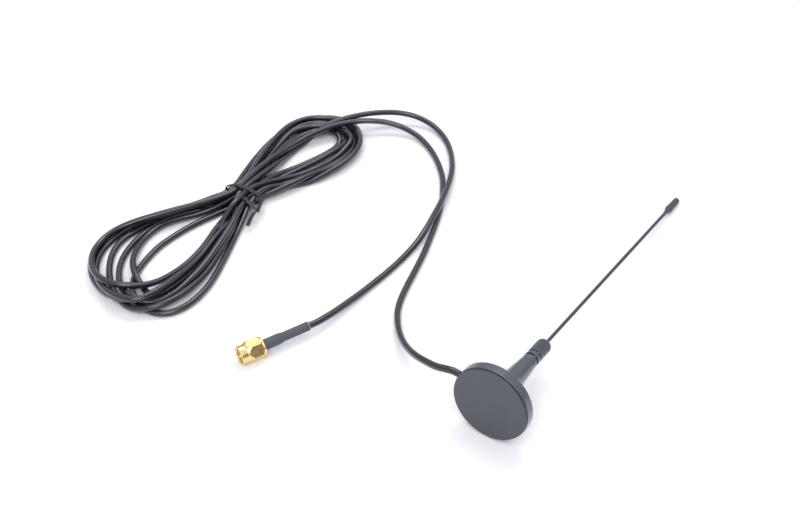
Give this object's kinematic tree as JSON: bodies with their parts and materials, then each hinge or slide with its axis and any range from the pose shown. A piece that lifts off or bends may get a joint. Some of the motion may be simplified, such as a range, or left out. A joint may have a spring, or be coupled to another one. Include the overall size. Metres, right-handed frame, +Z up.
{
  "type": "omnidirectional antenna",
  "caption": "Slim whip antenna on a round magnetic base, lying on its side, with a thin coax cord tied in a bundle and a gold screw-on coax plug.",
  "frame": {"origin": "on the surface the antenna lies on, under the middle of the antenna's own box (base and whip, without the cord and its plug)", "axes": "+Y from the base towards the whip's tip as it lies, +Z up, +X to the right seen from the base; the whip slopes down 4.66 degrees from the base to the tip"},
  "size_m": [0.2133, 0.1998, 0.0302],
  "materials": {
    "charcoal_plastic": "fine moulded satin",
    "pad_plastic": "smooth matt",
    "nickel_plate": "bright plated",
    "zinc_steel": "dull plated",
    "brass": "machined",
    "cord_jacket": "semi-gloss extruded",
    "dielectric": "waxy",
    "copper": "drawn wire",
    "tinned_copper": "braided",
    "solder": "bright",
    "seal_rubber": "matt",
    "spring_steel": "drawn wire",
    "whip_sleeve_plastic": "smooth matt",
    "tip_rubber": "matt",
    "tie_plastic": "satin",
    "shrink_sleeve": "matt shrunk sleeve",
    "gold_plate": "polished gold plate",
    "ptfe": "smooth",
    "gasket_silicone": "matt"
  },
  "bodies": {
    "base": {"base_housing": "charcoal_plastic", "base_pad": "pad_plastic", "magnet": "nickel_plate", "magnet_backing_plate": "zinc_steel", "neck_stud": "brass", "cable_clamp": "zinc_steel", "coax_jacket_end": "cord_jacket", "coax_dielectric": "dielectric", "coax_core": "copper", "coax_braid_pigtail": "tinned_copper", "solder_joint_core": "solder", "solder_joint_braid": "solder", "cord_lead": "cord_jacket", "cord_hank": "cord_jacket", "cord_tail": "cord_jacket", "twist_tie": "tie_plastic", "heat_shrink": "shrink_sleeve", "crimp_ferrule": "gold_plate", "plug_jacket_end": "cord_jacket", "plug_dielectric": "dielectric", "plug_body": "gold_plate", "plug_insulator": "ptfe", "plug_contact_pin": "gold_plate", "plug_gasket": "gasket_silicone", "plug_retaining_ring": "brass"},
    "whip_seal_body": {"whip_seal": "seal_rubber"},
    "whip": {"whip_grip": "charcoal_plastic", "whip_insert": "brass", "whip_rod": "spring_steel", "whip_sleeve": "whip_sleeve_plastic", "whip_tip": "tip_rubber"},
    "nut": {"coupling_nut": "gold_plate"}
  },
  "joints": [
    {"name": "whip_lift", "type": "slide", "parent": "base", "child": "whip_seal_body", "axis": [0, 0.9967, -0.0813], "range_m": [0, 0.0025]},
    {"name": "whip_screw", "type": "hinge", "parent": "whip_seal_body", "child": "whip", "pos_m": [0, -0.0574, 0.01305], "axis": [0, 0.9967, -0.0813], "range_deg": [0, 1800]},
    {"name": "coupling_nut_spin", "type": "hinge", "parent": "base", "child": "nut", "pos_m": [-0.09513, -0.10402, 0.00402], "axis": [-0.3714, -0.9285, 0], "continuous": true}
  ],
  "couplings": [
    {"joint": "whip_screw", "follows": "whip_lift", "rad_per_m": 12566}
  ]
}
